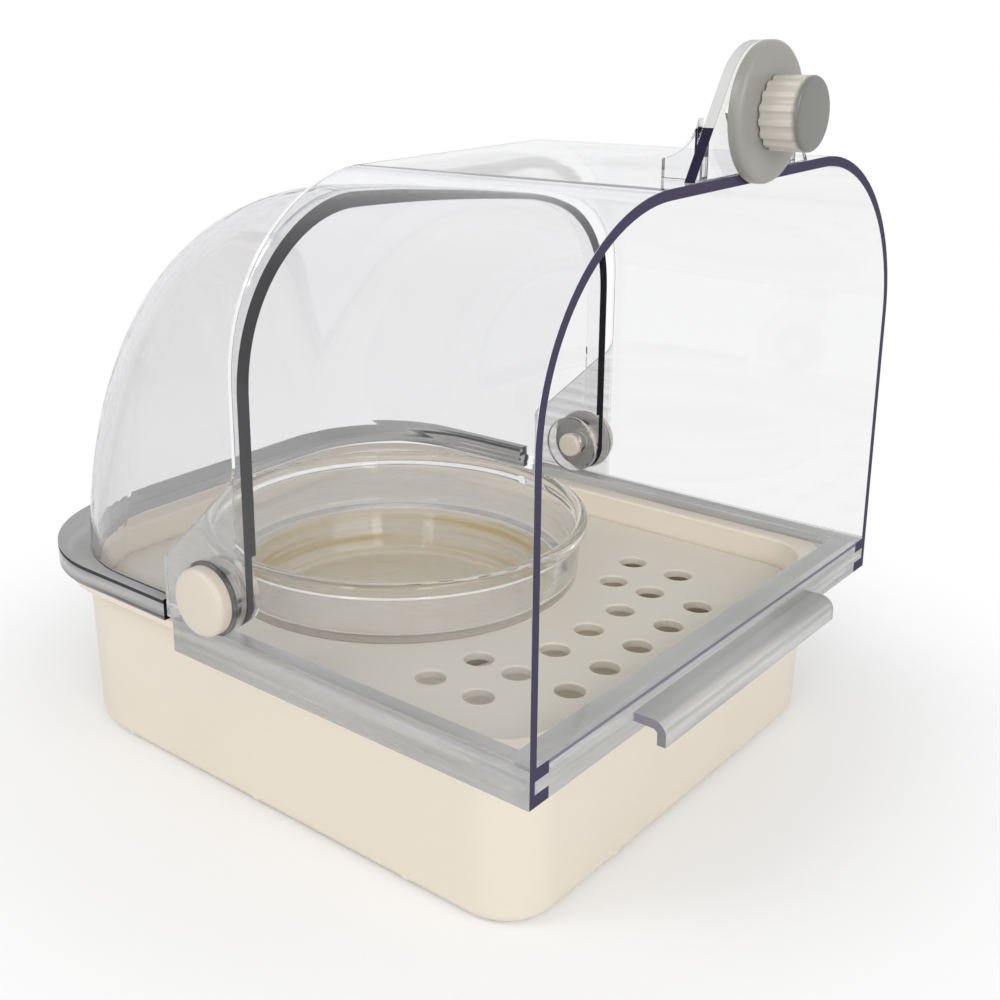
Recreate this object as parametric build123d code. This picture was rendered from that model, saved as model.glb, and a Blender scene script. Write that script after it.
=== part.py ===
from build123d import *
from math import radians, tan
import os

# Hanging bird bath: a drip tray with a drain plate and a bowl, under a clear hood
# that slides onto the tray's lip, with a hinged clear visor behind and a screw
# clamp on the roof. Millimetres, +X points at the cage, +Y to the far side, +Z up.
# The origin is under the middle of the whole part, on the surface it stands on.

os.makedirs("parts", exist_ok=True)

# Play
slide_gap = 0.3             # between flat faces that move past one another
seat_gap = 0.1              # under a piece that rests on another by its own weight
fit = 0.02                  # radial, for pieces pressed into one another
pin_play = 0.05             # radial, for pins that turn
screw_play = 0.1            # radial, for pieces loose on the screw

# Hood
hood_width = 140.0          # over the two side walls
hood_wall = 2.1
hood_rise = 103.2           # top of the roof above the underside of the rails
hood_shoulder = 39.4        # outside radius where a side turns into the roof
ear_round = 3.0

# Rails: a channel round three sides of the tray, which takes the tray's lip
rail_web = 2.3
rail_reach = 5.9            # outside face to the inner edge of the flanges
rail_flange = 2.6

# Hook lip on the front rail
hook_width = 73.0
hook_opening = 5.2          # room for a cage wire
hook_thickness = 2.0
hook_inner_round = 1.0

# Pivot and what is set out from it
pivot_setback = 81.4        # behind the hood's front face
pivot_rise = 16.6           # above the underside of the rails
roof_gap = 0.6              # roof's rear edge to the closed visor's front edge
ear_behind = 15.3           # pivot to the rear edge of an ear
ear_low = 5.4               # foot of an ear's slanted edge above the pivot
ear_high = 27.9             # head of an ear's slanted edge above the pivot
rail_step = 1.7             # rails stop this far short of the ears' rear edge

# Visor
side_gap = 1.7              # hood's inner side face to the visor's side
crown_gap = 3.4             # roof's underside to the crown of the closed visor
visor_wall = 2.0
visor_sweep = 72.2          # pivot to the rear of the dome
visor_ahead = 7.8           # pivot to the visor's front edge
bead_extra = 1.2            # how much thicker the front edge is than the wall
bead_width = 4.0
rim_ledge = 8.8             # rear of the dome to the rear of the rim
rim_ear_gap = 3.1           # rear edge of an ear to the rim's front end
rim_inset = 1.6             # hood's side face to the rim's side
rim_corner = 34.0
rim_flange = 2.5
skirt_height = 2.5
skirt_thickness = 1.8

# Tray
tray_height = 40.9
tray_wall = 2.2
tray_floor = 2.4
tray_clear = 1.1            # inner edge of the rails to the tray's wall
tray_rear_corner = 27.0
tray_front_corner = 13.0
tray_draft = 1.4            # degrees
tray_bottom_round = 3.0
lip_thickness = 2.0
lip_rear_reach = 4.4
rim_overhang = 4.9          # rear of the tray's lip to the rear of the visor's rim
rib_thickness = 2.0
rib_depth = 3.0
side_rib_pitch = 44.0
end_rib_pitch = 54.0

# Drain plate
plate_thickness = 2.0
plate_drop = 6.6            # tray's top edge down to the plate's top face
plate_gap = 0.5             # plate's edge to the tray's wall
plate_chamfer = 0.3
hole_diameter = 6.5
hole_pitch = 13.2
first_row_setback = 21.0    # hood's front face to the first row of holes
row_pitch = 12.8
last_row_bend = 2.6         # how far the last row's inner holes stand forward

# Bowl
bowl_setback = 91.0         # hood's front face to the middle of the bowl
bowl_radius = 47.2          # outside of the rim
bowl_flare = 2.4            # how far the rim stands out past the shoulder
bowl_seat = 3.8             # width of the shoulder that rests on the plate
bowl_taper = 4.0            # how far the base draws in below the shoulder
bowl_wall = 2.2
bowl_rise = 15.5            # shoulder to the top of the rim
bowl_drop = 13.0            # shoulder down to the underside of the base
bowl_bead = 2.8             # width and height of the rim's bead
bowl_gap = 0.5              # bowl to the edge of its hole in the plate

# Pivot caps, washers and rings
pin_diameter = 6.4
washer_diameter = 16.6
washer_thickness = 0.9
cap_diameter = 15.0
cap_thickness = 3.6
cap_round = 1.2
ring_diameter = 15.4
ring_thickness = 1.8
pin_end = 0.9               # pin standing proud of the inner ring
boss_diameter = 13.0

# Clamp
clamp_rise = 10.9           # clamp's axis above the roof
bracket_thickness = 2.1
bracket_setback = 0.3       # hood's front face to the bracket's front face
bracket_foot = 45.0
bracket_head_radius = 13.0
tenon_width = 8.0
tenon_spacing = 29.0
gusset_thickness = 2.0
gusset_reach = 7.0
gusset_foot = 3.6
gusset_rise = 11.0
gusset_hollow = 1.6         # depth of the curve in a gusset's edge
screw_diameter = 5.0        # M5, 0.8 pitch
screw_past_nut = 1.8
screw_tip_chamfer = 0.5
disc_diameter = 26.2
disc_thickness = 2.6
disc_round = 1.2
disc_standoff = 0.3         # hood's front face to the back of the disc
knob_diameter = 13.8
knob_cap = 1.3              # solid end beyond the screw's hole
knob_end_flange = 1.5       # plain end beyond the flutes
knob_flutes = 16
flute_width = 1.9
flute_depth = 0.55
knob_gap = 0.1

# Standard sizes that follow the thread
hexagon_across = 1.6 * screw_diameter
nut_thickness = 0.8 * screw_diameter
screw_head_height = 0.7 * screw_diameter
screw_tip_gap = 0.6

# Heights, from the tray's underside up
lip_bottom = tray_height - lip_thickness
groove = lip_thickness + 2 * slide_gap
rail_bottom = lip_bottom - slide_gap - rail_flange
rail_top = rail_bottom + 2 * rail_flange + groove
roof_top = rail_bottom + hood_rise
visor_rise = hood_rise - hood_wall - crown_gap
pivot_z = rail_bottom + pivot_rise
plate_top = tray_height - plate_drop
plate_bottom = plate_top - plate_thickness
skirt_bottom = tray_height + slide_gap
rim_bottom = skirt_bottom + skirt_height
rim_top = rim_bottom + rim_flange
clamp_z = roof_top + clamp_rise

# Lengths, from the knob's end back to the visor's rim
rim_reach = visor_sweep + rim_ledge
knob_length = nut_thickness + screw_past_nut + screw_tip_gap + knob_cap
screw_length = disc_standoff + disc_thickness + knob_gap + nut_thickness + screw_past_nut
clamp_reach = disc_standoff + disc_thickness + knob_gap + knob_length
front = (pivot_setback + rim_reach - clamp_reach) / 2
pivot_x = front - pivot_setback
visor_front = pivot_x + visor_ahead
roof_rear = visor_front + roof_gap
ear_rear = pivot_x - ear_behind
rail_rear = ear_rear + rail_step
rim_front = ear_rear - rim_ear_gap
rim_rear = pivot_x - rim_reach
tray_inset = rail_reach + tray_clear
tray_front = front - tray_inset
tray_rear = rim_rear + rim_overhang + lip_rear_reach
bowl_x = front - bowl_setback
bracket_x = front - bracket_setback - bracket_thickness / 2

# Half widths, from the middle out
half_width = hood_width / 2
wall_inner = half_width - hood_wall
visor_half = wall_inner - side_gap
rim_half = half_width - rim_inset
visor_round = hood_shoulder - hood_wall - side_gap
lip_inset = rail_web + slide_gap


def rounded_plan(rear, ahead, half, rear_corner, front_corner):
    """Plan outline from x = rear to x = ahead, with a corner radius for each end."""
    plan = Pos((rear + ahead) / 2, 0) * Rectangle(ahead - rear, 2 * half)
    if rear_corner > 0:
        plan = fillet(plan.vertices().sort_by(Axis.X)[:2], rear_corner)
    if front_corner > 0:
        plan = fillet(plan.vertices().sort_by(Axis.X)[-2:], front_corner)
    return plan


def slab(plan, low, high):
    """A plan outline made solid from z = low to z = high."""
    return extrude(Pos(0, 0, low) * plan, high - low)


def rounded_outline(points, rounds):
    """A face through the points, with the corners named in rounds filleted."""
    face = make_face(Polyline(*points, close=True))
    for corner, radius in rounds:
        nearest = face.vertices().sort_by_distance((corner[0], corner[1], 0))[0]
        face = fillet(nearest, radius)
    return face


def side_prism(points, half, rounds=()):
    """A side view outline in x and z, made solid from y = -half to y = half."""
    return extrude(Plane.XZ * rounded_outline(points, rounds), half, both=True)


def across(radius, y_from, y_to):
    """A cylinder on the pivot's axis, from y_from to y_to."""
    low = min(y_from, y_to)
    end = Plane((pivot_x, low, pivot_z), x_dir=(1, 0, 0), z_dir=(0, 1, 0)) * Circle(radius)
    return extrude(end, abs(y_to - y_from))


def along(section, x_from, x_to):
    """A section drawn about the clamp's axis, made solid from x_from to x_to."""
    face = Plane((x_from, 0, clamp_z), x_dir=(0, 1, 0), z_dir=(1, 0, 0)) * section
    return extrude(face, x_to - x_from)


def save(shape, name):
    """One piece, one solid, one file."""
    solid = shape.solid()
    solid.label = name
    export_step(solid, f"parts/{name}.step")


def tray_plan(inset):
    """The tray wall's outline at its top, drawn in by inset."""
    return rounded_plan(
        tray_rear + inset,
        tray_front - inset,
        half_width - tray_inset - inset,
        tray_rear_corner - inset,
        tray_front_corner - inset,
    )


def tray_form(inset, depth):
    """The tray's tapered form, drawn in by inset, from its top down to depth."""
    return extrude(Pos(0, 0, tray_height) * tray_plan(inset), -depth, taper=tray_draft)


def base_tray():
    """Tapered tray with an outward lip along its top and ribs that carry the plate."""
    body = tray_form(0, tray_height)
    body = fillet(body.faces().sort_by(Axis.Z)[0].edges(), tray_bottom_round)
    hollow = tray_form(tray_wall, tray_height - tray_floor)
    inside_round = max(tray_bottom_round - tray_wall / 2, tray_wall / 2)
    hollow = fillet(hollow.faces().sort_by(Axis.Z)[0].edges(), inside_round)
    lip = rounded_plan(
        tray_rear - lip_rear_reach,
        front - lip_inset,
        half_width - lip_inset,
        tray_rear_corner + lip_rear_reach,
        tray_front_corner + tray_inset - lip_inset,
    )
    body = body + slab(lip, lip_bottom, tray_height) - hollow
    side_y = half_width - tray_inset - rib_depth
    middle_x = (tray_front + tray_rear) / 2
    side_rib = Rectangle(rib_thickness, 2 * rib_depth)
    end_rib = Rectangle(2 * rib_depth, rib_thickness)
    ribs = [Pos(middle_x + step * side_rib_pitch, side * side_y) * side_rib
            for step in (-1, 0, 1) for side in (-1, 1)]
    ribs += [Pos(end_x, side * end_rib_pitch / 2) * end_rib
             for end_x in (tray_rear + rib_depth, tray_front - rib_depth) for side in (-1, 1)]
    inside_wall = tray_form(tray_wall / 2, tray_height - tray_floor / 2)
    for rib in ribs:
        body += slab(rib, tray_floor / 2, plate_bottom - seat_gap) & inside_wall
    return body


def plate_holes():
    """Drain hole places: distance behind the hood's front face, and offset from the middle."""
    second_row = first_row_setback + row_pitch
    last_row = second_row + row_pitch
    places = [(first_row_setback, step * hole_pitch) for step in range(-2, 3)]
    places += [(second_row, step * hole_pitch) for step in range(-3, 4)]
    places += [(last_row - last_row_bend, side * 2 * hole_pitch) for side in (-1, 1)]
    places += [(last_row, side * 3 * hole_pitch) for side in (-1, 1)]
    return places


def drain_plate():
    """Flat plate that drops into the tray, with the bowl's hole and the drain holes."""
    drawn_in = (plate_drop + plate_thickness) * tan(radians(tray_draft))
    plan = tray_plan(tray_wall + drawn_in + plate_gap)
    neck = bowl_radius - bowl_flare - bowl_seat
    plan -= Pos(bowl_x, 0) * Circle(neck + bowl_gap)
    for setback, offset in plate_holes():
        plan -= Pos(front - setback, offset) * Circle(hole_diameter / 2)
    plate = slab(plan, plate_bottom, plate_top)
    return chamfer(plate.faces().sort_by(Axis.Z)[-1].edges(), plate_chamfer)


def bath_bowl():
    """Turned clear bowl whose shoulder rests on the plate round its hole."""
    seat = plate_top + seat_gap
    top = seat + bowl_rise
    base = seat - bowl_drop
    floor = base + bowl_wall
    shoulder = bowl_radius - bowl_flare
    neck = shoulder - bowl_seat
    foot = neck - bowl_taper
    mouth = bowl_radius - bowl_bead
    points = [
        (0, base),
        (foot, base),
        (neck, seat),
        (shoulder, seat),
        (bowl_radius - bowl_bead / 2, top - 1.5 * bowl_bead),
        (bowl_radius, top - bowl_bead),
        (bowl_radius, top),
        (mouth, top),
        (mouth, top - bowl_bead),
        (shoulder - bowl_wall, seat + bowl_wall),
        (neck - bowl_wall, seat),
        (foot - bowl_wall, floor),
        (0, floor),
    ]
    rounds = (
        ((foot, base), 2 * bowl_wall),
        ((foot - bowl_wall, floor), 1.5 * bowl_wall),
        ((shoulder, seat), bowl_seat / 3),
        ((bowl_radius, top), bowl_bead * 0.4),
        ((mouth, top), bowl_bead * 0.4),
        ((bowl_radius, top - bowl_bead), bowl_bead * 0.3),
    )
    section = Plane((bowl_x, 0, 0), x_dir=(1, 0, 0), z_dir=(0, -1, 0)) * rounded_outline(points, rounds)
    return revolve(section, Axis((bowl_x, 0, 0), (0, 0, 1)))


def arch_section(inset):
    """The hood's section across its width: straight sides, round shoulders, flat roof."""
    height = hood_rise - inset
    section = Pos(0, rail_bottom + height / 2) * Rectangle(hood_width - 2 * inset, height)
    return fillet(section.vertices().sort_by(Axis.Y)[-2:], hood_shoulder - inset)


def hook_lip():
    """Clear lip on the front rail, open downward, that hangs on a cage wire."""
    root = front - rail_web / 2
    bend = front + hook_opening
    tip = bend + hook_thickness
    top = rail_top - rail_flange
    under = top - hook_thickness
    points = [
        (root, top),
        (tip, top),
        (tip, rail_bottom),
        (bend, rail_bottom),
        (bend, under),
        (root, under),
    ]
    rounds = (((tip, top), hook_inner_round + hook_thickness), ((bend, under), hook_inner_round))
    return side_prism(points, hook_width / 2, rounds)


def hood():
    """One clear moulding: arch, ears, three-sided rail channel and hook lip."""
    ring = arch_section(0) - arch_section(hood_wall)
    ends = Plane((ear_rear, 0, 0), x_dir=(0, 1, 0), z_dir=(1, 0, 0))
    shell = extrude(ends * ring, front - ear_rear)
    foot = (ear_rear, pivot_z + ear_low)
    head = (roof_rear, pivot_z + ear_high)
    side_view = [
        (front, rail_bottom),
        (front, roof_top),
        (roof_rear, roof_top),
        head,
        foot,
        (ear_rear, rail_top),
        (rail_rear, rail_top),
        (rail_rear, rail_bottom),
    ]
    shell &= side_prism(side_view, hood_width, ((foot, ear_round), (head, 2 * ear_round)))
    outside = rounded_plan(rail_rear, front, half_width, 0, 0)
    opening = rounded_plan(rail_rear, front - rail_reach, half_width - rail_reach, 0, 0)
    channel = rounded_plan(rail_rear, front - rail_web, half_width - rail_web, 0, 0)
    rails = slab(outside - opening, rail_bottom, rail_top)
    rails -= slab(channel, rail_bottom + rail_flange, rail_top - rail_flange)
    body = shell + rails + hook_lip()
    slot = Box(bracket_thickness + 2 * fit, tenon_width + 2 * fit, 4 * hood_wall)
    for side in (-1, 1):
        body -= across(pin_diameter / 2 + fit, side * visor_half, side * hood_width)
        body -= Pos(bracket_x, side * tenon_spacing / 2, roof_top) * slot
    return body


def dome_form(inset):
    """The visor's outer form drawn in by inset: an upright ellipse with round edges."""
    oval = Ellipse(visor_sweep - inset, visor_rise - inset)
    middle = Plane((pivot_x, 0, rail_bottom), x_dir=(1, 0, 0), z_dir=(0, -1, 0))
    block = extrude(middle * oval, visor_half - inset, both=True)
    return fillet(block.edges().filter_by(GeomType.ELLIPSE), visor_round - inset)


def rim_plan(inset):
    """The visor rim's outline, open at its front ends, drawn in by inset."""
    return rounded_plan(rim_rear + inset, rim_front, rim_half - inset, rim_corner - inset, 0)


def visor():
    """Clear quarter dome with a thick front edge, two lugs and a rim over the tray's rear."""
    cavity = dome_form(visor_wall)
    shell = dome_form(0) - dome_form(visor_wall + bead_extra)
    bead_rear = visor_front - bead_width
    bead_foot = pivot_z + ring_diameter / 2 + bead_width
    beside_bead = side_prism([
        (rim_rear, rail_bottom),
        (rim_rear, roof_top),
        (bead_rear, roof_top),
        (bead_rear, bead_foot),
        (visor_front, bead_foot - bead_width / 2),
        (visor_front, rail_bottom),
    ], hood_width)
    shell -= cavity & beside_bead
    lug_bottom = pivot_z - visor_ahead
    side_view = [
        (visor_front, lug_bottom),
        (visor_front, roof_top),
        (rim_rear, roof_top),
        (rim_rear, rim_bottom),
        (rim_front, rim_bottom),
        (rim_front, lug_bottom),
    ]
    shell &= side_prism(side_view, hood_width, (((visor_front, lug_bottom), visor_ahead),))
    flange = slab(rim_plan(0), rim_bottom, rim_top) - cavity
    skirt = slab(rim_plan(0) - rim_plan(skirt_thickness), skirt_bottom, rim_bottom)
    body = shell + flange + skirt
    boss_root = visor_half - visor_wall / 2
    boss_end = wall_inner - slide_gap
    for side in (-1, 1):
        body += across(boss_diameter / 2, side * boss_root, side * boss_end)
        body -= across(pin_diameter / 2 + pin_play, side * visor_half / 2, side * hood_width)
    return body


def pivot_set(side):
    """Cap with its pin, outer washer and inner ring for one side: -1 near, 1 far."""
    cap_face = side * (half_width + washer_thickness)
    cap_outer = cap_face + side * cap_thickness
    ring_face = side * (visor_half - visor_wall - slide_gap)
    ring_inner = ring_face - side * ring_thickness
    cap = across(cap_diameter / 2, cap_face, cap_outer)
    outer_edge = cap.edges().filter_by(GeomType.CIRCLE).sort_by(Axis.Y)[0 if side < 0 else -1]
    cap = fillet(outer_edge, cap_round)
    cap += across(pin_diameter / 2, cap_face, ring_inner - side * pin_end)
    bore = across(pin_diameter / 2 + fit, side * visor_half / 2, cap_outer)
    washer = across(washer_diameter / 2, side * half_width, cap_face) - bore
    ring = across(ring_diameter / 2, ring_face, ring_inner) - bore
    return cap, washer, ring


def clamp_bracket():
    """Clear upright tab on the roof, with two tenons through it and two curved gussets."""
    rear = bracket_x - bracket_thickness / 2
    foot_half = bracket_foot / 2
    foot_line = Line((-foot_half, -clamp_rise), (foot_half, -clamp_rise))
    outline = make_hull(Circle(bracket_head_radius).edges() + foot_line.edges())
    above_roof = Pos(0, bracket_foot / 2 - clamp_rise) * Rectangle(bracket_foot, bracket_foot)
    outline = (outline & above_roof) - Circle(screw_diameter / 2 + fit)
    tab = along(outline, rear, rear + bracket_thickness)
    gusset_end = rear - gusset_reach
    gusset_low = (gusset_end, roof_top + gusset_foot)
    gusset_high = (rear, roof_top + gusset_rise)
    straight = Polyline(gusset_high, (rear, roof_top), (gusset_end, roof_top), gusset_low)
    gusset_view = make_face(straight + SagittaArc(gusset_low, gusset_high, -gusset_hollow))
    gusset = extrude(Plane.XZ * gusset_view, gusset_thickness / 2, both=True)
    tenon = Box(bracket_thickness, tenon_width, hood_wall)
    gusset_y = (tenon_spacing + tenon_width) / 2 - gusset_thickness / 2
    for side in (-1, 1):
        tab += Pos(bracket_x, side * tenon_spacing / 2, roof_top - hood_wall / 2) * tenon
        tab += Pos(0, side * gusset_y, 0) * gusset
    return tab


def clamp_screw():
    """Screw whose hexagon head sits behind the bracket and whose end runs into the knob."""
    rear = bracket_x - bracket_thickness / 2
    shank = along(Circle(screw_diameter / 2), rear, front + screw_length)
    shank = chamfer(shank.edges().sort_by(Axis.X)[-1], screw_tip_chamfer)
    hexagon = RegularPolygon(hexagon_across / 2, 6, major_radius=False)
    return shank + along(hexagon, rear - screw_head_height, rear)


def clamp_disc():
    """Pressure disc with a round edge, loose on the screw."""
    rear = front + disc_standoff
    disc = along(Circle(disc_diameter / 2), rear, rear + disc_thickness)
    disc = fillet(disc.edges().sort_by(Axis.X)[-1], disc_round)
    return disc - along(Circle(screw_diameter / 2 + screw_play), rear, rear + disc_thickness)


def clamp_knob():
    """Fluted thumb knob with a hexagon pocket for its nut and a blind hole for the screw."""
    rear = front + disc_standoff + disc_thickness + knob_gap
    radius = knob_diameter / 2
    end_x = rear + knob_length
    flute_radius = flute_width / 2
    grip = Circle(radius)
    for flute in PolarLocations(radius + flute_radius - flute_depth, knob_flutes):
        grip -= flute * Circle(flute_radius)
    plain_end = along(Circle(radius), end_x - knob_end_flange, end_x)
    plain_end = fillet(plain_end.edges().sort_by(Axis.X)[-1], 0.6 * knob_end_flange)
    knob = along(grip, rear, end_x - knob_end_flange) + plain_end
    pocket = RegularPolygon(hexagon_across / 2 + fit, 6, major_radius=False)
    knob -= along(pocket, rear, rear + nut_thickness + fit)
    return knob - along(Circle(screw_diameter / 2 + screw_play), rear, end_x - knob_cap)


def knob_nut():
    """Nut pressed into the back of the knob."""
    rear = front + disc_standoff + disc_thickness + knob_gap
    hexagon = RegularPolygon(hexagon_across / 2, 6, major_radius=False)
    return along(hexagon - Circle(screw_diameter / 2 + pin_play), rear, rear + nut_thickness)


save(base_tray(), "base_tray")
save(drain_plate(), "drain_plate")
save(bath_bowl(), "bath_bowl")
save(hood(), "hood")
save(visor(), "visor")
for side, side_name in ((-1, "near"), (1, "far")):
    cap, washer, ring = pivot_set(side)
    save(cap, f"{side_name}_pivot_cap")
    save(washer, f"{side_name}_pivot_washer")
    save(ring, f"{side_name}_pivot_ring")
save(clamp_bracket(), "clamp_bracket")
save(clamp_screw(), "clamp_screw")
save(clamp_disc(), "clamp_disc")
save(clamp_knob(), "clamp_knob")
save(knob_nut(), "knob_nut")
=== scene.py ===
import bmesh
import bpy
import numpy as np
from mathutils import Matrix, Vector


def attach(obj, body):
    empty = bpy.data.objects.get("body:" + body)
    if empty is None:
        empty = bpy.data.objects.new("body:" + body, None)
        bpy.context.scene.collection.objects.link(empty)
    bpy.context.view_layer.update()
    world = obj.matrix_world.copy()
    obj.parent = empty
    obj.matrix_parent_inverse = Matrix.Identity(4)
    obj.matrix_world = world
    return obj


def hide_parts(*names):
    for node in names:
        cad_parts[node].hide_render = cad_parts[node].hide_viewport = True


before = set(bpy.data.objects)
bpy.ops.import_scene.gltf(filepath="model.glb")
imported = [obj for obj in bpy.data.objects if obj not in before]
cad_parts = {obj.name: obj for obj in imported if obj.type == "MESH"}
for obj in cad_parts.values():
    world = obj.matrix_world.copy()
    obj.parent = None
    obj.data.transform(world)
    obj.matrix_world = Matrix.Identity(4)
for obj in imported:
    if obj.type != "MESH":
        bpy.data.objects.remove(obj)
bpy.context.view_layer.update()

scene = bpy.context.scene
mm = 0.001


# Studio. The bath stands on a plain white sweep. Two large soft lamps and two tall
# narrow ones light it from the camera's side, and the room is white all round.
scene.view_settings.view_transform = "Standard"

camera = bpy.data.objects.new("camera", bpy.data.cameras.new("camera"))
camera.data.sensor_width = 36.0
camera.data.lens = 48.28
camera.data.shift_x = 0.131
camera.data.shift_y = -0.093
camera.data.clip_start = 0.02
camera_axes = np.eye(4)
camera_axes[:3, 0] = (0.7400, 0.6723, -0.0191)
camera_axes[:3, 1] = (-0.1768, 0.2219, 0.9589)
camera_axes[:3, 2] = (0.6489, -0.7062, 0.2831)
camera_axes[:3, 3] = (0.1935, -0.2369, 0.1695)
camera.matrix_world = Matrix(camera_axes.tolist())
scene.collection.objects.link(camera)
scene.camera = camera

bath_middle = Vector((0, 0, 0.06))


def soft_lamp(name, place, width, height, power):
    """An oblong lamp at place, turned towards the middle of the bath."""
    lamp = bpy.data.objects.new(name, bpy.data.lights.new(name, "AREA"))
    lamp.data.shape = "RECTANGLE"
    lamp.data.size = width
    lamp.data.size_y = height
    lamp.data.energy = power
    lamp.location = place
    lamp.rotation_euler = (Vector(place) - bath_middle).to_track_quat("Z", "Y").to_euler()
    scene.collection.objects.link(lamp)
    return lamp


left_lamp = soft_lamp("left_lamp", (-0.55, -0.80, 0.80), 0.55, 0.55, 3.6)
soft_lamp("right_lamp", (0.95, -0.20, 0.62), 0.60, 0.60, 3.5)
soft_lamp("left_window", (0.25, -1.05, 0.42), 0.16, 0.60, 1.9)
soft_lamp("right_window", (0.95, -0.62, 0.42), 0.16, 0.60, 1.9)


def join(links, *pairs):
    """Links each (from, to) pair of sockets."""
    for source, target in pairs:
        links.new(source, target)


def math_node(nodes, links, operation, first, second=None):
    """A Math node on sockets or numbers, and its output."""
    node = nodes.new("ShaderNodeMath")
    node.operation = operation
    for slot, value in enumerate((first, second)):
        if isinstance(value, (int, float)):
            node.inputs[slot].default_value = value
        elif value is not None:
            links.new(value, node.inputs[slot])
    return node.outputs[0]


def seen_rays(nodes, links):
    """1 for rays from the camera, in reflections and through clear plastic, else 0."""
    path = nodes.new("ShaderNodeLightPath")
    straight = math_node(nodes, links, "MAXIMUM", path.outputs["Is Camera Ray"],
                         path.outputs["Is Transmission Ray"])
    return math_node(nodes, links, "MAXIMUM", straight, path.outputs["Is Glossy Ray"])


def seen_white(nodes, links, where):
    """How white the room looks: 1, but in reflections its near side falls off to the open room."""
    parts = nodes.new("ShaderNodeSeparateXYZ")
    missing = nodes.new("ShaderNodeMapRange")       # the white that the near side lacks, by its y
    missing.inputs["From Min"].default_value = -0.40
    missing.inputs["From Max"].default_value = 0.10
    missing.inputs["To Min"].default_value = 0.38
    missing.inputs["To Max"].default_value = 0.0
    join(links, (nodes.new("ShaderNodeTexCoord").outputs[where], parts.inputs[0]),
         (parts.outputs["Y"], missing.inputs["Value"]))
    path = nodes.new("ShaderNodeLightPath")
    mirrored = math_node(nodes, links, "MULTIPLY", path.outputs["Is Glossy Ray"], missing.outputs[0])
    return math_node(nodes, links, "SUBTRACT", 1.0, mirrored)


room_light = 0.52           # what the room adds to lit surfaces
world = bpy.data.worlds.new("white_room")
scene.world = world
world.use_nodes = True
room_nodes, room_links = world.node_tree.nodes, world.node_tree.links
room = room_nodes["Background"]
room.inputs["Color"].default_value = (1, 1, 1, 1)
room_level = room_nodes.new("ShaderNodeMapRange")
room_level.inputs["To Min"].default_value = room_light
join(room_links, (seen_rays(room_nodes, room_links), room_level.inputs["Value"]),
     (seen_white(room_nodes, room_links, "Generated"), room_level.inputs["To Max"]),
     (room_level.outputs[0], room.inputs["Strength"]))


def node_material(name):
    """A new material with nodes: the material, its nodes, its links and its Principled shader."""
    material = bpy.data.materials.new(name)
    material.use_nodes = True
    nodes = material.node_tree.nodes
    return material, nodes, material.node_tree.links, nodes["Principled BSDF"]


sweep_reach, sweep_z = 4, -0.2 * mm        # just below the tray, so that they share no plane
sweep_corners = [(x * sweep_reach, y * sweep_reach, sweep_z) for x, y in ((-1, -1), (1, -1), (1, 1), (-1, 1))]
sweep_mesh = bpy.data.meshes.new("sweep")
sweep_mesh.from_pydata(sweep_corners, [], [(0, 1, 2, 3)])
sweep = bpy.data.objects.new("sweep", sweep_mesh)
scene.collection.objects.link(sweep)
paper, nodes, links, matt = node_material("white_paper")
matt.inputs["Base Color"].default_value = (0.93, 0.93, 0.93, 1)
matt.inputs["Roughness"].default_value = 0.9
matt.inputs["Specular IOR Level"].default_value = 0.0
place = nodes.new("ShaderNodeTexCoord")
reach = nodes.new("ShaderNodeVectorMath")
reach.operation = "LENGTH"
fade = nodes.new("ShaderNodeMapRange")      # from lit paper near the bath to plain white far off
fade.interpolation_type = "SMOOTHSTEP"
fade.inputs["From Min"].default_value = 0.05
fade.inputs["From Max"].default_value = 0.18
glow = nodes.new("ShaderNodeEmission")
blend = nodes.new("ShaderNodeMixShader")
join(links, (place.outputs["Object"], reach.inputs[0]), (reach.outputs["Value"], fade.inputs["Value"]),
     (math_node(nodes, links, "MULTIPLY", seen_rays(nodes, links), fade.outputs[0]), blend.inputs[0]),
     (seen_white(nodes, links, "Object"), glow.inputs["Strength"]),
     (matt.outputs[0], blend.inputs[1]), (glow.outputs[0], blend.inputs[2]),
     (blend.outputs[0], nodes["Material Output"].inputs["Surface"]))
sweep_mesh.materials.append(paper)


# Tray. A cream moulding with drafted walls, round corners and an outward lip that
# the hood's rails run on. Short ribs inside carry the drain plate.
tray_front, tray_rear, tray_half = 68.85, -77.25, 63.0
tray_front_corner, tray_rear_corner = 13.0, 27.0
tray_height, tray_wall, tray_floor = 40.9, 2.2, 2.4
tray_draft = np.tan(np.radians(1.4))
lip_reach, lip_thickness = 4.4, 2.0
floor_inset = 9.0           # the moulding's section runs in to here, and flat faces close the floor
rib_top, rib_thickness, rib_depth = 32.2, 2.0, 3.0
rib_corner, rib_edge, rib_core = 0.6, 0.4, 0.9
side_rib_step, end_rib_y = 44, 27


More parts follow.
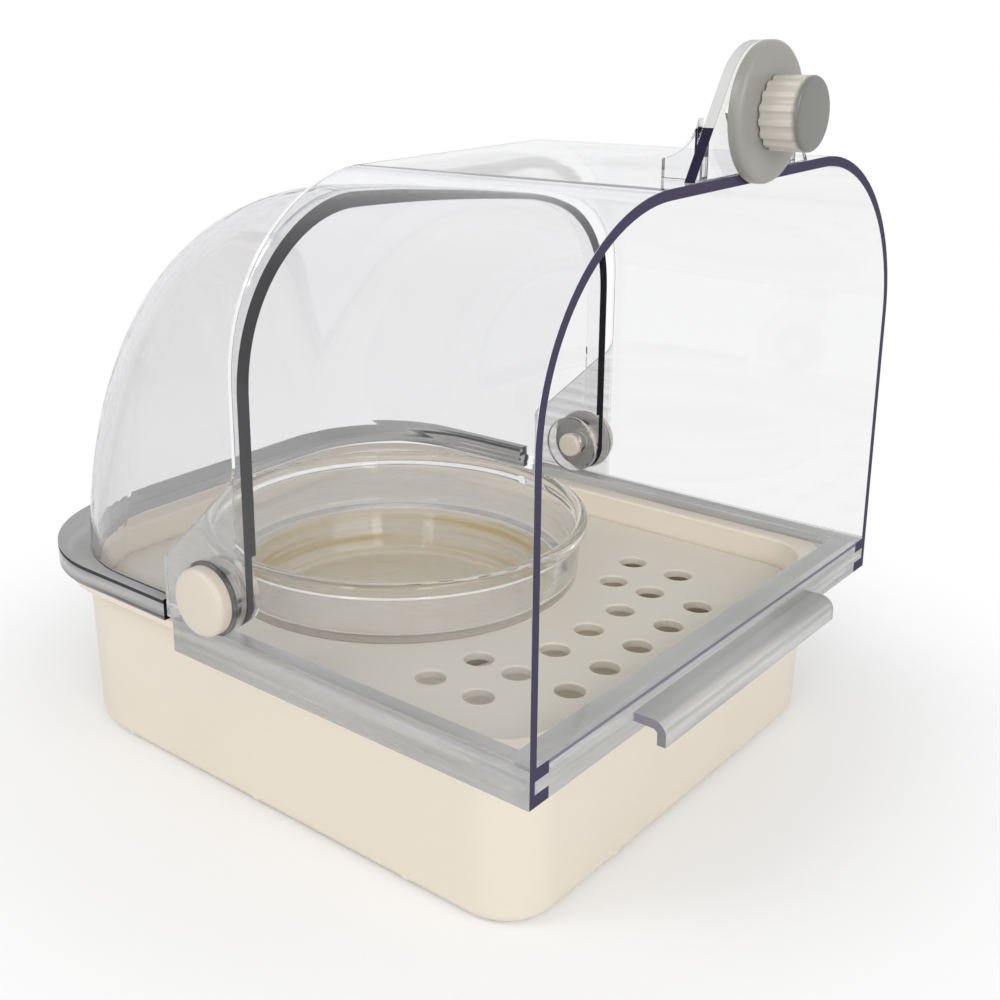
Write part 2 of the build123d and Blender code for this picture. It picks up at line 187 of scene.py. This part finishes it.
def rounded_path(corners, radii, steps=6):
    """Points along a run of straight lines whose corners are turned by arcs.

    An arc of radius r starts r * tan(turn / 2) before its corner, and its points lie at
    even angles about a centre on the corner's bisector. A radius of 0 keeps the corner.
    """
    corners = np.asarray(corners, float)
    made = [corners[:1]]
    for before, corner, after, radius in zip(corners[:-2], corners[1:-1], corners[2:], radii):
        to_before = (before - corner) / np.linalg.norm(before - corner)
        to_after = (after - corner) / np.linalg.norm(after - corner)
        half = np.arccos(np.clip(to_before @ to_after, -1, 1)) / 2
        if radius == 0 or half > np.pi / 2 - 1e-3:
            made.append(corner[None])
            continue
        radius = min(radius, 0.49 * np.tan(half) * min(np.linalg.norm(before - corner),
                                                       np.linalg.norm(after - corner)))
        bisector = (to_before + to_after) / np.linalg.norm(to_before + to_after)
        centre = corner + bisector * radius / np.sin(half)
        sideways = to_before - (to_before @ bisector) * bisector
        sideways /= np.linalg.norm(sideways)
        angle = np.linspace(np.pi / 2 - half, half - np.pi / 2, steps + 1)[:, None]
        made.append(centre + radius * (np.sin(angle) * sideways - np.cos(angle) * bisector))
    made.append(corners[-1:])
    return np.concatenate(made)


def corner_outline(rear, front, half, rear_corner, front_corner, steps=14, along=10):
    """A rectangle with round corners as points and outward normals, going round once.

    Each corner is a quarter circle at even angles, and the straight runs between two
    corners are divided evenly.
    """
    centres = np.array([(front - front_corner, half - front_corner),
                        (rear + rear_corner, half - rear_corner),
                        (rear + rear_corner, rear_corner - half),
                        (front - front_corner, front_corner - half)])
    radii = np.array((front_corner, rear_corner, rear_corner, front_corner))
    angle = np.radians(np.arange(4)[:, None] * 90 + np.linspace(0, 90, steps + 1))
    normal = np.stack((np.cos(angle), np.sin(angle)), -1)
    arc = centres[:, None] + radii[:, None, None] * normal
    share = np.linspace(0, 1, along + 1)[1:-1, None]
    run = arc[:, -1:, :] + share * (np.roll(arc, -1, 0)[:, :1] - arc[:, -1:, :])
    points = np.concatenate((arc, run), 1).reshape(-1, 2)
    normals = np.concatenate((normal, np.repeat(normal[:, -1:], along - 1, 1)), 1).reshape(-1, 2)
    return points, normals


def skin(rings, hollow=False):
    """Vertices and faces of a closed surface through rings[station, place], in millimetres.

    Each four neighbours make one face, and the places of a ring run round it. A flat face
    closes the first ring and the last, or, where it is hollow, the last joins the first.
    """
    stations, places = rings.shape[:2]
    index = np.arange(stations * places).reshape(stations, places)
    if hollow:
        index = np.concatenate((index, index[:1]))
    ahead = np.roll(index, -1, 1)
    faces = np.stack((index[:-1], ahead[:-1], ahead[1:], index[1:]), -1).reshape(-1, 4).tolist()
    if not hollow:
        faces += [index[0, ::-1].tolist(), index[-1].tolist()]
    return rings.reshape(-1, 3) * mm, faces


def outward(mesh):
    """Turns every face of a closed mesh outwards, and sharpens edges over 35 degrees."""
    shape = bmesh.new()
    shape.from_mesh(mesh)
    bmesh.ops.remove_doubles(shape, verts=shape.verts, dist=1e-7)
    bmesh.ops.recalc_face_normals(shape, faces=shape.faces)
    shape.to_mesh(mesh)
    shape.free()
    mesh.shade_smooth()
    mesh.set_sharp_from_angle(angle=np.radians(35))


def piece(name, skins, material, body, slot, *nodes_replaced):
    """One object from one or more skins, that rides on body and stands for CAD nodes."""
    mesh = bpy.data.meshes.new(name)
    vertices, faces, first = [], [], 0
    for points, polygons in skins:
        vertices.append(points)
        faces += [[corner + first for corner in polygon] for polygon in polygons]
        first += len(points)
    mesh.from_pydata(np.concatenate(vertices), [], faces)
    outward(mesh)
    mesh.materials.append(material)
    made = bpy.data.objects.new(name, mesh)
    scene.collection.objects.link(made)
    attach(made, body)
    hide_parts(*nodes_replaced)


def moulded_plastic(name, colour, roughness, grain=0.10):
    """Satin moulded plastic: a fine moulded grain, and a colour and gloss that drift slightly."""
    material, nodes, links, shell = node_material(name)
    place = nodes.new("ShaderNodeTexCoord").outputs["Object"]
    drift = nodes.new("ShaderNodeTexNoise")
    drift.inputs["Scale"].default_value = 28.0
    drift.inputs["Detail"].default_value = 3.0
    shade = nodes.new("ShaderNodeMixRGB")
    shade.inputs["Color1"].default_value = (*(0.955 * np.array(colour)), 1)
    shade.inputs["Color2"].default_value = (*np.minimum(1.035 * np.array(colour), 1), 1)
    gloss = nodes.new("ShaderNodeMapRange")
    gloss.inputs["To Min"].default_value = roughness - 0.06
    gloss.inputs["To Max"].default_value = roughness + 0.06
    fine = nodes.new("ShaderNodeTexNoise")
    fine.inputs["Scale"].default_value = 1500.0
    fine.inputs["Detail"].default_value = 2.0
    bump = nodes.new("ShaderNodeBump")
    bump.inputs["Strength"].default_value = grain
    bump.inputs["Distance"].default_value = 0.05 * mm
    join(links, (place, drift.inputs["Vector"]), (place, fine.inputs["Vector"]),
         (drift.outputs[0], shade.inputs["Fac"]), (shade.outputs[0], shell.inputs["Base Color"]),
         (drift.outputs[0], gloss.inputs["Value"]), (gloss.outputs[0], shell.inputs["Roughness"]),
         (fine.outputs[0], bump.inputs["Height"]), (bump.outputs[0], shell.inputs["Normal"]))
    return material


cream_plastic = moulded_plastic("cream_moulding", (0.752, 0.680, 0.575), 0.36)
foot_inset = tray_height * tray_draft
tray_profile = rounded_path(
    [(floor_inset, 0), (foot_inset, 0), (lip_thickness * tray_draft, tray_height - lip_thickness),
     (-lip_reach, tray_height - lip_thickness), (-lip_reach, tray_height), (tray_wall, tray_height),
     (tray_wall + (tray_height - tray_floor) * tray_draft, tray_floor), (floor_inset, tray_floor)],
    (3.0, 0.6, 0.4, 0.45, 0.7, 2.0))
outline, outline_normals = corner_outline(
    tray_rear, tray_front, tray_half, tray_rear_corner, tray_front_corner)


def carried_round(profile, outline, normals):
    """A profile of (inset, height) carried round an outline: each place moves in by the inset."""
    flat = outline[None] - profile[:, :1, None] * normals[None]
    height = np.broadcast_to(profile[:, 1, None, None], (*flat.shape[:2], 1))
    return np.concatenate((flat, height), -1)


def rib(x, y, half_x, half_y):
    """An upright rib with round edges, from inside the tray's floor to the drain plate."""
    edge, edge_normals = corner_outline(x - half_x, x + half_x, half_y, rib_corner, rib_corner, 4, 2)
    rib_foot = tray_floor - 1.0
    section = rounded_path(
        [(rib_core, rib_foot), (0, rib_foot), (0, rib_top), (rib_core, rib_top)], (0, rib_edge), 3)
    return skin(carried_round(section, edge + (0, y), edge_normals))


middle = (tray_front + tray_rear) / 2
ribs = [rib(middle + step, side * (tray_half - rib_depth), rib_thickness / 2, rib_depth - 1.0)
        for step in (-side_rib_step, 0, side_rib_step) for side in (-1, 1)]
ribs += [rib(x, side * end_rib_y, rib_depth - 1.0, rib_thickness / 2)
         for x in (tray_rear + rib_depth, tray_front - rib_depth) for side in (-1, 1)]
piece("tray", [skin(carried_round(tray_profile, outline, outline_normals))] + ribs,
      cream_plastic, "tray", "cream_plastic", "base_tray")


# Drain plate. A thin pale moulding with a round hole for the bowl and drain holes
# in front of it, that drops onto the tray's ribs. Its edges are broken.
def softened(node, width):
    """Rounds the edges of a CAD node as moulded: flat faces made whole, then edges over 35 degrees turned."""
    weld = node.modifiers.new("weld", "WELD")
    weld.merge_threshold = 1e-6
    whole = node.modifiers.new("whole", "DECIMATE")
    whole.decimate_type = "DISSOLVE"
    whole.angle_limit = 0.002
    turn = node.modifiers.new("round", "BEVEL")
    turn.width = width * mm
    turn.segments = 2
    turn.limit_method = "ANGLE"
    turn.angle_limit = np.radians(35)
    shade = node.modifiers.new("shade", "WEIGHTED_NORMAL")
    shade.keep_sharp = False
    shade.weight = 80


def dress(name, material):
    """Gives a CAD node its finish."""
    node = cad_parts[name]
    node.data.materials.clear()
    node.data.materials.append(material)
    return node


plate_plastic = moulded_plastic("plate_moulding", (0.675, 0.635, 0.550), 0.42)
softened(dress("drain_plate", plate_plastic), 0.2)


# Bowl. A clear round bath with a beaded rim and a shoulder that rests on the plate
# round its hole. Its thick wall is polished inside and out.
def inside_box(nodes, links, place, low, high):
    """1 where a place lies between two corners in millimetres, else 0.

    The distance from the box's middle is taken on each axis, the half size is taken off,
    and the largest of the three has to be below 0.
    """
    low, high = np.array(low) * mm, np.array(high) * mm
    steps = (("SUBTRACT", (low + high) / 2), ("ABSOLUTE", None), ("SUBTRACT", (high - low) / 2))
    for operation, amount in steps:
        step = nodes.new("ShaderNodeVectorMath")
        step.operation = operation
        links.new(place, step.inputs[0])
        if amount is not None:
            step.inputs[1].default_value = amount
        place = step.outputs[0]
    parts = nodes.new("ShaderNodeSeparateXYZ")
    links.new(place, parts.inputs[0])
    most = math_node(nodes, links, "MAXIMUM", parts.outputs["X"], parts.outputs["Y"])
    most = math_node(nodes, links, "MAXIMUM", most, parts.outputs["Z"])
    return math_node(nodes, links, "LESS_THAN", most, 0.0)


def from_middle(nodes, links, vector):
    """A vector whose y counts from the middle outwards, alike on both sides."""
    parts = nodes.new("ShaderNodeSeparateXYZ")
    whole = nodes.new("ShaderNodeCombineXYZ")
    join(links, (vector, parts.inputs[0]), (parts.outputs["X"], whole.inputs["X"]),
         (math_node(nodes, links, "ABSOLUTE", parts.outputs["Y"]), whole.inputs["Y"]),
         (parts.outputs["Z"], whole.inputs["Z"]))
    return whole.outputs[0]


def clear_acrylic(name, tint, density, cuts=(), painted_veils=()):
    """Polished clear plastic, slightly wavy, that lets lamps through.

    tint and density are how it darkens through its thickness. Its two sides are alike, so
    y counts from the middle outwards. Each cut is (low, high, direction, colour): inside
    that box, faces that look in that direction are painted that colour: painted shade where it
    is dark, painted light where it is light. Each painted veil is (low, high, share, colour):
    inside that box the plastic is painted that colour by share, in streaks along its length,
    as painted shade or painted light in the same way.
    """
    material, nodes, links, shell = node_material(name)
    place = nodes.new("ShaderNodeTexCoord")
    here = place.outputs["Object"]
    spot, facing = (from_middle(nodes, links, place.outputs[which]) for which in ("Object", "Normal"))
    wave = nodes.new("ShaderNodeTexNoise")
    wave.inputs["Scale"].default_value = 45.0
    wave.inputs["Detail"].default_value = 1.0
    bump = nodes.new("ShaderNodeBump")
    bump.inputs["Strength"].default_value = 0.10
    bump.inputs["Distance"].default_value = 0.25 * mm
    shell.inputs["IOR"].default_value = 1.49
    shell.inputs["Specular IOR Level"].default_value = 0.08      # sawn edges have little gloss
    join(links, (here, wave.inputs["Vector"]), (wave.outputs[0], bump.inputs["Height"]),
         (bump.outputs[0], shell.inputs["Normal"]))

    veil_share, cut, painted = 0.0, 0.0, []
    if painted_veils:
        stretch = nodes.new("ShaderNodeMapping")
        stretch.inputs["Scale"].default_value = (14.0, 14.0, 520.0)
        streak = nodes.new("ShaderNodeTexNoise")
        streak.inputs["Scale"].default_value = 1.0
        streak.inputs["Detail"].default_value = 3.0
        strong = nodes.new("ShaderNodeMapRange")
        strong.inputs["From Min"].default_value = 0.35
        strong.inputs["From Max"].default_value = 0.65
        strong.inputs["To Min"].default_value = 0.45
        strong.inputs["To Max"].default_value = 1.55
        join(links, (here, stretch.inputs["Vector"]), (stretch.outputs[0], streak.inputs["Vector"]),
             (streak.outputs[0], strong.inputs["Value"]))
        for low, high, share, colour in painted_veils:
            inside = inside_box(nodes, links, spot, low, high)
            part = math_node(nodes, links, "MULTIPLY", inside, share)
            part = math_node(nodes, links, "MULTIPLY", part, strong.outputs[0])
            veil_share = math_node(nodes, links, "MAXIMUM", part, veil_share)
            painted.append((part, colour))
    for low, high, direction, colour in cuts:
        turned_to = nodes.new("ShaderNodeVectorMath")
        turned_to.operation = "DOT_PRODUCT"
        turned_to.inputs[1].default_value = Vector(direction).normalized()
        shown = nodes.new("ShaderNodeMapRange")
        shown.inputs["From Min"].default_value = 0.78
        shown.inputs["From Max"].default_value = 0.90
        join(links, (facing, turned_to.inputs[0]), (turned_to.outputs["Value"], shown.inputs["Value"]))
        inside = inside_box(nodes, links, spot, low, high)
        part = math_node(nodes, links, "MULTIPLY", inside, shown.outputs[0])
        cut = math_node(nodes, links, "MAXIMUM", part, cut)
        painted.append((part, colour))

    polish, cut_dullness, veil_dullness = 0.02, 0.65, 0.08
    shell.inputs["Base Color"].default_value = (1, 1, 1, 1)
    shell.inputs["Roughness"].default_value = polish
    shell.inputs["Transmission Weight"].default_value = 1.0
    shade = None
    for share, colour in painted:
        mix = nodes.new("ShaderNodeMixRGB")
        mix.inputs["Color1"].default_value = (1, 1, 1, 1)
        mix.inputs["Color2"].default_value = (*colour, 1)
        links.new(share, mix.inputs["Fac"])
        if shade is not None:
            links.new(shade, mix.inputs["Color1"])
        shade = mix.outputs[0]
    if painted:
        solid = math_node(nodes, links, "MAXIMUM", veil_share, cut)
        dull = math_node(nodes, links, "MAXIMUM", math_node(nodes, links, "MULTIPLY", cut, cut_dullness),
                         math_node(nodes, links, "MULTIPLY", veil_share, veil_dullness))
        join(links, (shade, shell.inputs["Base Color"]),
             (math_node(nodes, links, "ADD", dull, polish), shell.inputs["Roughness"]),
             (math_node(nodes, links, "SUBTRACT", 1.0, solid), shell.inputs["Transmission Weight"]))

    through = nodes.new("ShaderNodeBsdfTransparent")
    path = nodes.new("ShaderNodeLightPath")
    lit = math_node(nodes, links, "MAXIMUM", path.outputs["Is Shadow Ray"], path.outputs["Is Diffuse Ray"])
    mix = nodes.new("ShaderNodeMixShader")
    body = nodes.new("ShaderNodeVolumeAbsorption")
    body.inputs["Color"].default_value = (*tint, 1)
    body.inputs["Density"].default_value = density
    output = nodes["Material Output"]
    join(links, (lit, mix.inputs[0]), (shell.outputs[0], mix.inputs[1]), (through.outputs[0], mix.inputs[2]),
         (mix.outputs[0], output.inputs["Surface"]), (body.outputs[0], output.inputs["Volume"]))
    return material


def turned(profile, centre, axis, steps=96):
    """A profile of (radius, distance) turned about an axis through centre.

    The ring at distance d has its places at centre + d * axis + radius * (cos, sin).
    """
    axis = np.asarray(axis, float)
    side = np.array((0.0, 0.0, 1.0)) if abs(axis[2]) < 0.5 else np.array((1.0, 0.0, 0.0))
    other = np.cross(axis, side)
    angle = np.arange(steps) * 2 * np.pi / steps
    spoke = np.cos(angle)[:, None] * side + np.sin(angle)[:, None] * other
    profile = np.asarray(profile, float)
    return np.asarray(centre, float) + profile[:, None, 1:] * axis + profile[:, None, :1] * spoke


pole = 0.02                 # how near a turned profile comes to its axis
bowl_x, bowl_seat, bowl_top, bowl_base = -15.15, 34.4, 49.9, 21.4
rim_radius, rim_bead, shoulder, neck, foot, bowl_wall = 47.2, 2.8, 44.8, 41.0, 37.0, 2.2
# amber is painted light: the tan of the tray's floor seen through the bowl's lower half; smoke is painted
# shade on the wall above the plate
amber_painted_light, smoke_painted_shade = (0.47, 0.345, 0.11), (0.24, 0.22, 0.17)
bowl_clear = clear_acrylic(
    "bowl_acrylic", (0.86, 0.83, 0.74), 60.0,
    painted_veils=[((-58, 0, 21), (28, 43, 34.3), 0.62, amber_painted_light),         # below the shoulder
           ((-64, 0, 34.3), (34, 49, 45.7), 0.18, smoke_painted_shade)])      # from the shoulder to the rim
bowl_profile = rounded_path(
    [(pole, bowl_base), (foot, bowl_base), (neck, bowl_seat), (shoulder, bowl_seat),
     (rim_radius - rim_bead / 2, bowl_top - 1.5 * rim_bead), (rim_radius, bowl_top - rim_bead),
     (rim_radius, bowl_top), (rim_radius - rim_bead, bowl_top), (rim_radius - rim_bead, bowl_top - rim_bead),
     (shoulder - bowl_wall, bowl_seat + bowl_wall), (neck - bowl_wall, bowl_seat),
     (foot - bowl_wall, bowl_base + bowl_wall), (pole, bowl_base + bowl_wall)],
    (4.4, 0.4, 1.27, 1.2, 0.84, 1.3, 1.3, 1.0, 1.5, 1.5, 3.3), 7)
piece("bowl", [skin(turned(bowl_profile, (bowl_x, 0, 0), (0, 0, 1), 160))],
      bowl_clear, "bowl", "bowl_clear", "bath_bowl")


# Hood. One clear moulding: an arch with ears, the rails that run on the tray's lip
# and a hook lip in front. Its cut front edge is painted dark violet, and its rails, hook
# and ears a grey veil in streaks: both are painted shade.
violet_painted_shade, sill_painted_shade, hook_painted_shade = (0.060, 0.052, 0.094), (0.20, 0.19, 0.24), (0.26, 0.25, 0.28)
veil_painted_shade = (0.24, 0.24, 0.22)
forwards, aside = (1, 0, 0), (0, 1, 0)
cut_from, cut_to, hood_side = 75.6, 76.1, 71        # a thin slab round the open front
rail_inside, groove_end = 64.2, 68.4
rail_foot, groove_foot, groove_top, sill, rail_top = 35.0, 38.6, 41.2, 43.0, 43.9
hood_clear = clear_acrylic(
    "hood_acrylic", (0.80, 0.81, 0.84), 130.0,
    cuts=[((cut_from, 0, rail_top), (cut_to, hood_side, 140), forwards, violet_painted_shade),      # the arch
          ((cut_from, 0, sill), (cut_to, rail_inside, rail_top), forwards, sill_painted_shade),
          ((cut_from, rail_inside, groove_top), (cut_to, hood_side, rail_top), forwards, violet_painted_shade),
          ((cut_from, groove_end, groove_foot), (cut_to, hood_side, groove_top), forwards, violet_painted_shade),
          ((cut_from, rail_inside, rail_foot), (cut_to, hood_side, groove_foot), forwards, violet_painted_shade),
          ((75.9, 36, rail_foot), (84, 37, 42), aside, hook_painted_shade)],       # the hook's end
    painted_veils=[((-25, 0, rail_foot), (84, hood_side, 43.85), 0.50, veil_painted_shade),       # the rails and the hook
           ((-21.5, 0, 43.7), (2.9, hood_side, 81), 0.16, veil_painted_shade)])           # the ears
softened(dress("hood", hood_clear), 0.13)


# Visor. A clear quarter dome with a thick front edge, that turns on two pins and
# ends in a rim over the back of the tray. The cut face of its front edge is painted near
# black, and its rim dark bands and a grey veil: all painted shade.
black_painted_shade, rim_edge_painted_shade, rim_foot_painted_shade = (0.010, 0.009, 0.012), (0.06, 0.06, 0.07), (0.03, 0.03, 0.04)
rim_veil_painted_shade = (0.22, 0.22, 0.21)
rim_rear, rim_front, rim_side = -87, -23.9, 69
visor_clear = clear_acrylic(
    "visor_acrylic", (0.80, 0.80, 0.82), 210.0,
    cuts=[((2.0, 0, 50), (3, 68, 132), forwards, black_painted_shade),                # the dome's front edge
          ((-24.3, 0, 41), (-23.7, rim_side, 46.3), forwards, black_painted_shade),   # the rim's ends
          ((-6, 0, 43), (3, 68, 53.2), (0.8, 0, -0.6), black_painted_shade)]          # the lugs' lower front
    + [((rim_rear, 0, 45.1), (rim_front, rim_side, 46.0), away, rim_edge_painted_shade)
       for away in (aside, (-0.7, 0.7, 0), (-1, 0, 0))],
    painted_veils=[((rim_rear, 0, 42.2), (rim_front, rim_side, 46.3), 0.56, rim_veil_painted_shade),
           ((rim_rear, 0, 41.1), (rim_front, rim_side, 42.2), 0.62, rim_foot_painted_shade)])
dress("visor", visor_clear)

shaded = bpy.data.collections.new("shaded_from_left_lamp")      # that lamp isn't mirrored in hood and visor
left_lamp.light_linking.receiver_collection = shaded
for name in ("hood", "visor"):
    shaded.objects.link(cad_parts[name])
for member in shaded.collection_objects:
    member.light_linking.link_state = "EXCLUDE"


# Pivots. On each side a cream cap with its pin is pressed through the ear, over a
# clear washer, and a clear ring keeps it in behind the visor's lug.
pivot_x, pivot_z = -5.55, 52.6
pin_radius, pin_end = 3.2, 61.2
pin_gap = 0.02              # keeps the pin and what it is pressed into from sharing a face
cap_radius, cap_from, cap_to = 7.5, 70.9, 74.5
cap_flat, cap_crown, cap_rim = 4.5, 0.1, 0.5
washer_radius, washer_from = 8.3, 70.0
ring_radius, ring_from, ring_to = 7.7, 62.1, 63.9
washer_clear = clear_acrylic("washer_acrylic", (0.80, 0.80, 0.80), 70.0)
cap_plastic = moulded_plastic("cap_moulding", (0.655, 0.588, 0.500), 0.34)


def ring_section(hole, radius, low, high, edges, steps):
    """The section of a flat ring as (radius, distance), round once from the middle of its low side.

    edges are the radii of its four rounded edges, from the low outer one by the high ones
    to the low inner one. The last point would repeat the first, and is left off.
    """
    start = ((hole + radius) / 2, low)
    corners = [start, (radius, low), (radius, high), (hole, high), (hole, low), start]
    return rounded_path(corners, edges, steps)[:-1]


for side, side_name in ((-1, "near"), (1, "far")):
    pivot = ((pivot_x, 0, pivot_z), (0, side, 0))
    cap = rounded_path(
        [(pole, pin_end), (pin_radius - pin_gap, pin_end), (pin_radius - pin_gap, cap_from),
         (cap_radius, cap_from), (cap_radius, cap_to - cap_rim), (cap_flat, cap_to - cap_crown),
         (pole, cap_to)], (0.5, 0, 0.3, 1.3, 6.0))
    piece(f"{side_name}_cap", [skin(turned(cap, *pivot))], cap_plastic, "hood", "cream_plastic",
          f"{side_name}_pivot_cap")
    for part, radius, low, high in (("washer", washer_radius, washer_from, cap_from),
                                    ("ring", ring_radius, ring_from, ring_to)):
        ring = ring_section(pin_radius + pin_gap, radius, low, high, (0.25, 0.25, 0.25, 0.25), 3)
        piece(f"{side_name}_{part}", [skin(turned(ring, *pivot), hollow=True)],
              washer_clear, "hood", "clear_plastic", f"{side_name}_pivot_{part}")


# Clamp. A clear tab is set in the roof by two tenons, with a screw through it. A grey
# moulded disc slides on the screw and presses the cage's bars against the hood.
# The tab's side faces below its shoulder are painted dark as painted shade, and its faces above are painted
# light grey as painted light.
tab_painted_shade, tab_painted_light = (0.020, 0.017, 0.040), (0.62, 0.62, 0.61)
tab_rear, tab_front, tab_shoulder = 73, 76, 148.4
bracket_clear = clear_acrylic(
    "bracket_acrylic", (0.80, 0.80, 0.84), 60.0,
    cuts=[((tab_rear, 8, 136), (tab_front, 24, tab_shoulder), (0, 1, 0.3), tab_painted_shade),
          ((tab_rear, 5, tab_shoulder), (tab_front, 24, 165), (0, 1, 0.3), tab_painted_light),
          ((tab_rear, 0, tab_shoulder), (tab_front, 14, 165), (0, 0.5, 1), tab_painted_light)])
softened(dress("clamp_bracket", bracket_clear), 0.25)
grey_plastic = moulded_plastic("grey_moulding", (0.285, 0.280, 0.252), 0.33, 0.05)
clamp_z = 150.1
clamp = ((0, 0, clamp_z), (1, 0, 0))
screw_hole, disc_radius, disc_from, disc_to = 2.6, 13.1, 76.15, 78.75
disc = ring_section(screw_hole, disc_radius, disc_from, disc_to, (0.3, 1.25, 0.2, 0.2), 6)
piece("disc", [skin(turned(disc, *clamp, 128), hollow=True)], grey_plastic, "disc",
      "grey_plastic", "clamp_disc")


# Knob. A grey moulding with flutes to turn it by, a plain round end, a hexagon pocket
# for its nut in the back, and a blind bore that the screw's end runs in.
knob_radius, knob_from, knob_to, plain_end, knob_crown = 6.9, 78.85, 86.55, 1.5, 0.05
flutes, flute_radius, flute_depth = 16, 0.95, 0.55
nut_flat, pocket_end, bore_end = 4.02, 82.87, 85.25
between = 5                 # a radius between the pocket and the flutes
knob_places = 480           # 30 to a flute, 80 to a side of the hexagon
# The flutes' light cream is painted light, and further down the flat end is painted darker as painted shade.
knob_painted_light_and_shade = moulded_plastic("knob_moulding_painted_light_and_shade", (0.60, 0.565, 0.505), 0.26, 0.05)
knob_profile = rounded_path(
    [(pole, bore_end), (screw_hole, bore_end), (screw_hole, pocket_end), (nut_flat, pocket_end),
     (nut_flat, knob_from), (knob_radius, knob_from), (knob_radius, knob_to - plain_end),
     (knob_radius, knob_to), (pole, knob_to - knob_crown)], (0, 0, 0, 0.15, 0.35, 0, 0.95), 8)
from_axis, distance = knob_profile.T
angle = np.arange(knob_places) * 2 * np.pi / knob_places


def from_nearest(angle, count):
    """The angle to the nearest of count even directions, the first of which is 0."""
    return (angle + np.pi / count) % (2 * np.pi / count) - np.pi / count


def flute_share(angle):
    """How far out the fluted grip reaches at an angle, as a share of its full radius.

    A flute is a circle centred outside the grip. At an angle a from its centre line its
    near side lies at centre * cos(a) - sqrt(radius^2 - (centre * sin(a))^2).
    """
    centre = knob_radius + flute_radius - flute_depth
    along, across = centre * np.cos(angle), centre * np.sin(angle)
    near_side = along - np.sqrt(np.maximum(flute_radius ** 2 - across ** 2, 0))
    outside = np.where(np.abs(across) < flute_radius, np.minimum(near_side, knob_radius), knob_radius)
    return outside / knob_radius


knob = turned(knob_profile, *clamp, knob_places)
hexagon = 1 / np.cos(from_nearest(angle, 6))        # a hexagon's radius, as a multiple of its flat's
grip = flute_share(from_nearest(angle, flutes))
in_pocket = (from_axis > screw_hole + 0.1) & (from_axis < between)
on_grip = (distance < knob_to - plain_end + 0.01) & (from_axis > between)
for rings, scale in ((in_pocket, hexagon), (on_grip, grip)):
    knob[rings, :, 1:] = (0, clamp_z) + (knob[rings, :, 1:] - (0, clamp_z)) * scale[None, :, None]
nodes, links = knob_painted_light_and_shade.node_tree.nodes, knob_painted_light_and_shade.node_tree.links
shell = nodes["Principled BSDF"]
shade = shell.inputs["Base Color"].links[0].from_socket
parts = nodes.new("ShaderNodeSeparateXYZ")
# painted shade: the flat end is painted darker than the flutes
end_painted_share = nodes.new("ShaderNodeMapRange")      # the flat end is darker than the flutes
end_painted_share.inputs["From Min"].default_value = (knob_to - plain_end) * mm
end_painted_share.inputs["From Max"].default_value = (knob_to - 0.5) * mm
end_painted_shade = nodes.new("ShaderNodeMixRGB")
end_painted_shade.inputs["Color2"].default_value = (0.155, 0.157, 0.143, 1)
join(links, (nodes.new("ShaderNodeTexCoord").outputs["Object"], parts.inputs[0]),
     (parts.outputs["X"], end_painted_share.inputs["Value"]), (end_painted_share.outputs[0], end_painted_shade.inputs["Fac"]),
     (shade, end_painted_shade.inputs["Color1"]), (end_painted_shade.outputs[0], shell.inputs["Base Color"]))
piece("knob", [skin(knob)], knob_painted_light_and_shade, "knob", "grey_plastic", "clamp_knob")


# Screw and nut. Zinc-plated steel: the screw's hexagon head sits behind the tab, and
# the nut is pressed into the back of the knob and draws it along the screw.
zinc, nodes, links, metal = node_material("zinc_plate")
place = nodes.new("ShaderNodeTexCoord").outputs["Object"]
brushed = nodes.new("ShaderNodeTexNoise")
brushed.inputs["Scale"].default_value = 900.0
worn = nodes.new("ShaderNodeMapRange")
worn.inputs["To Min"].default_value = 0.22
worn.inputs["To Max"].default_value = 0.42
metal.inputs["Base Color"].default_value = (0.62, 0.62, 0.60, 1)
metal.inputs["Metallic"].default_value = 1.0
join(links, (place, brushed.inputs["Vector"]), (brushed.outputs[0], worn.inputs["Value"]),
     (worn.outputs[0], metal.inputs["Roughness"]))
dress("clamp_screw", zinc)
dress("knob_nut", zinc)
